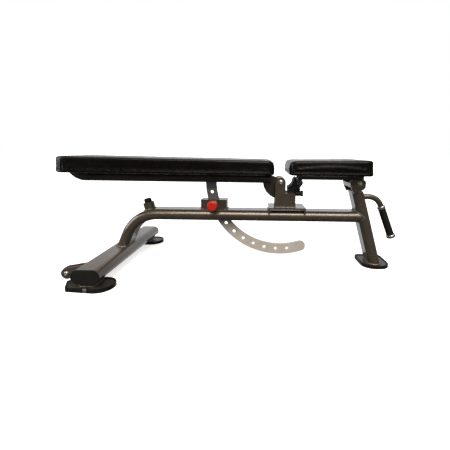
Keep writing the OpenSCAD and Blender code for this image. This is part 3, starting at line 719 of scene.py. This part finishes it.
def make_welds():
    parts = []
    # spine to leg
    ring = []
    for y, t in oval_points(SPINE_W, SPINE_T):
        z = SPINE_Z + t
        ring.append((leg_face_x(y, z, -1) - 0.0008, y * 1.004, z + math.copysign(0.0008, t)))
    parts.append(bead(ring, 0.0024, True))
    # spine to cross tube
    ang = math.radians(BEND_DEG)
    start = Vector((BEND_X - BEND_R * math.sin(ang), 0, SPINE_Z - BEND_R + BEND_R * math.cos(ang)))
    run = Vector((-math.cos(ang), 0, -math.sin(ang)))
    normal = Vector((-math.sin(ang), 0, math.cos(ang)))
    ring = []
    for y, t in oval_points(SPINE_W, SPINE_T):
        base = start + normal * t + Vector((0, y, 0))
        k = 0.0
        while k < 0.11:
            p = base + run * k
            off = abs(p.x - CROSS_X)
            top = CROSS_Z + (CROSS_R if off < 0.025 else math.sqrt(max(CROSS_R ** 2 - (off - 0.025) ** 2, 0)))
            if p.z <= top + 0.001:
                break
            k += 0.0005
        ring.append(p + normal * math.copysign(0.001, t) + Vector((0, 0, 0.0006)))
    parts.append(bead(ring, 0.0024, True))
    # tower plates to the saddle, both sides
    for s in (-1, 1):
        y = s * 0.0492
        parts.append(bead([(0.180, y, 0.2560), (0.264, y, 0.2560)], 0.0024))
        parts.append(bead([(0.264, s * 0.0475, 0.2565), (0.264, s * 0.028, 0.2565)], 0.0022))
    # saddle skirts to the spine
    for x in SADDLE_ENDS:
        parts.append(bead([(x, -0.030, 0.2388), (x, 0.030, 0.2388)], 0.0026))
        for s in (-1, 1):
            side = [(x, s * (0.0265 + 0.0235 * math.sin(a)), 0.215 + 0.0235 * math.cos(a))
                    for a in [math.radians(8 * k) for k in range(0, 8)]]
            parts.append(bead(side, 0.0024))
    # selector housing to the spine: short tacks at its corners
    for x in HOUSING_ENDS:
        for s in (-1, 1):
            parts.append(bead([(x + (0.001 if x < -0.1 else -0.001), s * 0.0275, 0.2392),
                               (x + (0.014 if x < -0.1 else -0.014), s * 0.0275, 0.2392)], 0.0026))
            parts.append(bead([(x, s * 0.0265, 0.2388), (x, s * 0.012, 0.2388)], 0.0024))
    # handle to the leg
    ring = []
    for k in range(36):
        a = math.radians(10 * k)
        y, z = 0.0125 * math.cos(a), HANDLE_Z + 0.0125 * math.sin(a)
        ring.append((leg_face_x(y, z, 1) + 0.0006, y, z))
    parts.append(bead(ring, 0.0022, True))
    # stop post on the spine's bend
    axis = Vector((-math.sin(POST_LEAN), 0, math.cos(POST_LEAN)))
    side = Vector((math.cos(POST_LEAN), 0, math.sin(POST_LEAN)))
    top = Vector(POST_TOP)
    ring = []
    bend_c = Vector((BEND_X, 0, SPINE_Z - BEND_R))
    for k in range(48):
        a = math.radians(7.5 * k)
        base = top + side * 0.0235 * math.cos(a) + Vector((0, 0.0235 * math.sin(a), 0))
        d = 0.0
        while d < 0.09:
            p = base - axis * d
            y_drop = max(0.0, abs(p.y) - 0.027)
            skin = BEND_R + math.sqrt(0.023 ** 2 - y_drop ** 2)
            rel = Vector((p.x - bend_c.x, 0, p.z - bend_c.z))
            height = rel.length if p.x < BEND_X else rel.z
            if height <= skin + 0.0008:
                break
            d += 0.0005
        ring.append(p)
    parts.append(bead(ring, 0.0025, True))
    # clevis cheeks on the leg
    for s in (-1, 1):
        path = []
        for k in range(12):
            z = 0.327 + 0.0115 * k / 11 * 1.3
            x = 0.520 + 0.032 * k / 11
            path.append((x, s * 0.0502, z - 0.0025))
        parts.append(bead(path, 0.0022))
    # foot risers to the cross tube and the foot plates
    for s in (-1, 1):
        for x in (CROSS_X - 0.0258, CROSS_X + 0.0258):
            parts.append(bead([(x, s * 0.222, 0.0118), (x, s * 0.284, 0.0118)], 0.0022))
            parts.append(bead([(x, s * 0.222, 0.0262), (x, s * 0.284, 0.0262)], 0.0020))
        parts.append(bead([(CROSS_X - 0.024, s * 0.2868, 0.0118),
                           (CROSS_X + 0.024, s * 0.2868, 0.0118)], 0.0022))
    # leg to its foot plate
    ring = []
    for y, t in oval_points(0.100, LEG_T):
        ring.append((LEG_X - math.tan(LEG_LEAN) * 0.012 + t / math.cos(LEG_LEAN) * 1.03, y * 1.02, 0.0122))
    parts.append(bead(ring, 0.0028, True))
    verts, faces = join_parts(parts)
    new_piece("weld_beads", verts, faces, WELD, "base")


def cap_head(name, centre, axis, r, h, body, socket=0.55, slot="zinc_steel"):
    """Domed screw head with a hexagon socket."""
    axis = Vector(axis).normalized()
    u = axis.orthogonal().normalized()
    w = axis.cross(u)
    c = Vector(centre)
    sides = 48
    hole = r * socket * 0.62
    profile = [(r, 0.0), (r, h * 0.16), (r * 0.985, h * 0.30), (r * 0.93, h * 0.52), (r * 0.82, h * 0.74),
               (r * 0.66, h * 0.91), (r * 0.50, h * 0.985), (hole * 1.18, h)]
    verts, faces = [], []

    def ring(rad, height, hexed):
        start = len(verts)
        for k in range(sides):
            a = 2 * math.pi * k / sides
            rr = rad
            if hexed:
                local = (a + math.pi / 6) % (math.pi / 3) - math.pi / 6
                rr = rad * math.cos(math.pi / 6) / math.cos(local)
            verts.append(c + axis * height + (u * math.cos(a) + w * math.sin(a)) * rr)
        return start

    starts = [ring(p[0], p[1], False) for p in profile]
    starts.append(ring(hole, h * 0.99, True))
    starts.append(ring(hole, h * 0.42, True))
    for a, b in zip(starts, starts[1:]):
        for k in range(sides):
            k2 = (k + 1) % sides
            faces.append((a + k, a + k2, b + k2, b + k))
    faces.append(tuple(starts[-1] + k for k in range(sides)))
    faces.append(tuple(starts[0] + k for k in range(sides))[::-1])
    new_piece(name, verts, faces, MATS[slot], body)


def make_bolts():
    cap_head("back_bolt_head", (BACK_PIVOT[0], -0.0498, BACK_PIVOT[1]), (0, -1, 0), 0.0098, 0.0085, "base")
    cap_head("seat_bolt_head", (SEAT_PIVOT[0], -0.0578, SEAT_PIVOT[1]), (0, -1, 0), 0.0090, 0.0075, "base")
    cap_head("link_bolt_head", (LINK_PIVOT[0], -0.0244, LINK_PIVOT[1]), (0, -1, 0), 0.0082, 0.0063, "link",
             slot="link_paint")
    for s, word in ((-1, "near"), (1, "far")):
        cap_head("wheel_bolt_" + word, (WHEEL_X, s * WHEEL_BOLT_Y, WHEEL_Z), (0, s, 0),
                 0.0084, 0.0060, "base")


def make_handle_detail():
    """Rings moulded round the grip and the flange's step."""
    c = Vector((HANDLE_X, 0, HANDLE_Z - HANDLE_BEND))
    a = math.pi / 2 - HANDLE_DROP
    end = c + Vector((math.cos(a), 0, math.sin(a))) * HANDLE_BEND
    axis = Vector((math.sin(a), 0, -math.cos(a)))
    profile = [(0.0121, 0.0152), (0.0160, 0.0152)]
    t = 0.0170
    while t < 0.1350:
        profile += [(0.0160, t), (0.01565, t + 0.0007), (0.01565, t + 0.0015), (0.0160, t + 0.0022)]
        t += 0.0040
    profile += [(0.0160, 0.1368), (0.0121, 0.1368)]
    v, f = lathe(profile, end, axis, 40)
    sleeve = new_piece("grip_sleeve", v, f, MATS["black_rubber"], "base")
    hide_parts("handle_grip")
    v, f = lathe([(0.0125, 0.0025), (0.0168, 0.0025), (0.0180, 0.0040), (0.0180, 0.0128), (0.0165, 0.0152),
                  (0.0125, 0.0150)], end, axis, 48)
    collar = new_piece("grip_collar", v, f, MATS["chrome_trim"], "base")
    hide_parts("handle_collar")
    v, f = lathe([(0.0150, 0.1372), (0.0190, 0.1374), (0.0201, 0.1388), (0.0203, 0.1410), (0.0202, 0.1470),
                  (0.0196, 0.1490), (0.0178, 0.1506), (0.0158, 0.1512), (0.0150, 0.1524), (0.0110, 0.1532),
                  (0.0040, 0.1534)], end, axis, 48)
    cap = new_piece("grip_end_cap", v, f, MATS["chrome_trim"], "base")
    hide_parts("handle_end_cap")


def make_clips():
    """Tabs bent over the front rims of the head feet."""
    steps = [(-0.2960, 0.0152), (-0.3116, 0.0153), (-0.3132, 0.0147), (-0.3138, 0.0132), (-0.3138, 0.0045),
             (-0.3132, 0.0030)]
    parts = []
    for side in (1, -1):
        verts, faces = [], []
        for i, (y, z) in enumerate(steps):
            down = i / (len(steps) - 1)
            for x in (-0.4870 + 0.0015 * down, -0.4750 + 0.0030 * down):
                verts.append(Vector((x, side * y, z)))
                verts.append(Vector((x, side * (y + 0.0013 * down), z - 0.0013 * (1 - down))))
        for i in range(len(steps) - 1):
            a, b = 4 * i, 4 * i + 4
            for p, q in ((0, 2), (2, 3), (3, 1), (1, 0)):
                faces.append((a + p, a + q, b + q, b + p))
        faces.append((0, 1, 3, 2))
        faces.append((len(verts) - 4, len(verts) - 2, len(verts) - 1, len(verts) - 3))
        parts.append((verts, faces))
    verts, faces = join_parts(parts)
    clips = new_piece("foot_clip_tabs", verts, faces, MATS["zinc_steel"], "base", smooth=False)
    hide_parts("foot_clips")


def make_knob():
    """Round pull knob, a cup over the barrel, with a soft rim and a shallow dished face."""
    c = (PIN[0], -0.064, PIN[1])
    profile = [(0.0040, 0.0142), (0.0123, 0.0140), (0.0123, 0.0), (0.0196, 0.0), (0.0208, 0.0010),
               (0.0213, 0.0028), (0.0213, 0.0185), (0.0207, 0.0212), (0.0192, 0.0230), (0.0172, 0.0240),
               (0.0150, 0.0243), (0.0110, 0.0240), (0.0060, 0.0238), (0.0010, 0.0238)]
    v, f = lathe(profile, c, (0, -1, 0), 64)
    knob = new_piece("knob_face", v, f, MATS["red_knob"], "selector")
    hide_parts("plunger_knob")


make_camera()
make_stage()
dress_cad()
make_pad("back_cushion", "back_pad", "back", 0.050, 0.026, 1, 0.0075, 0.0012)
make_pad("seat_cushion", "seat_pad", "seat", 0.026, 0.026, 0, 0.0060, 0.0012)
make_welds()
make_bolts()
make_handle_detail()
make_clips()
make_knob()
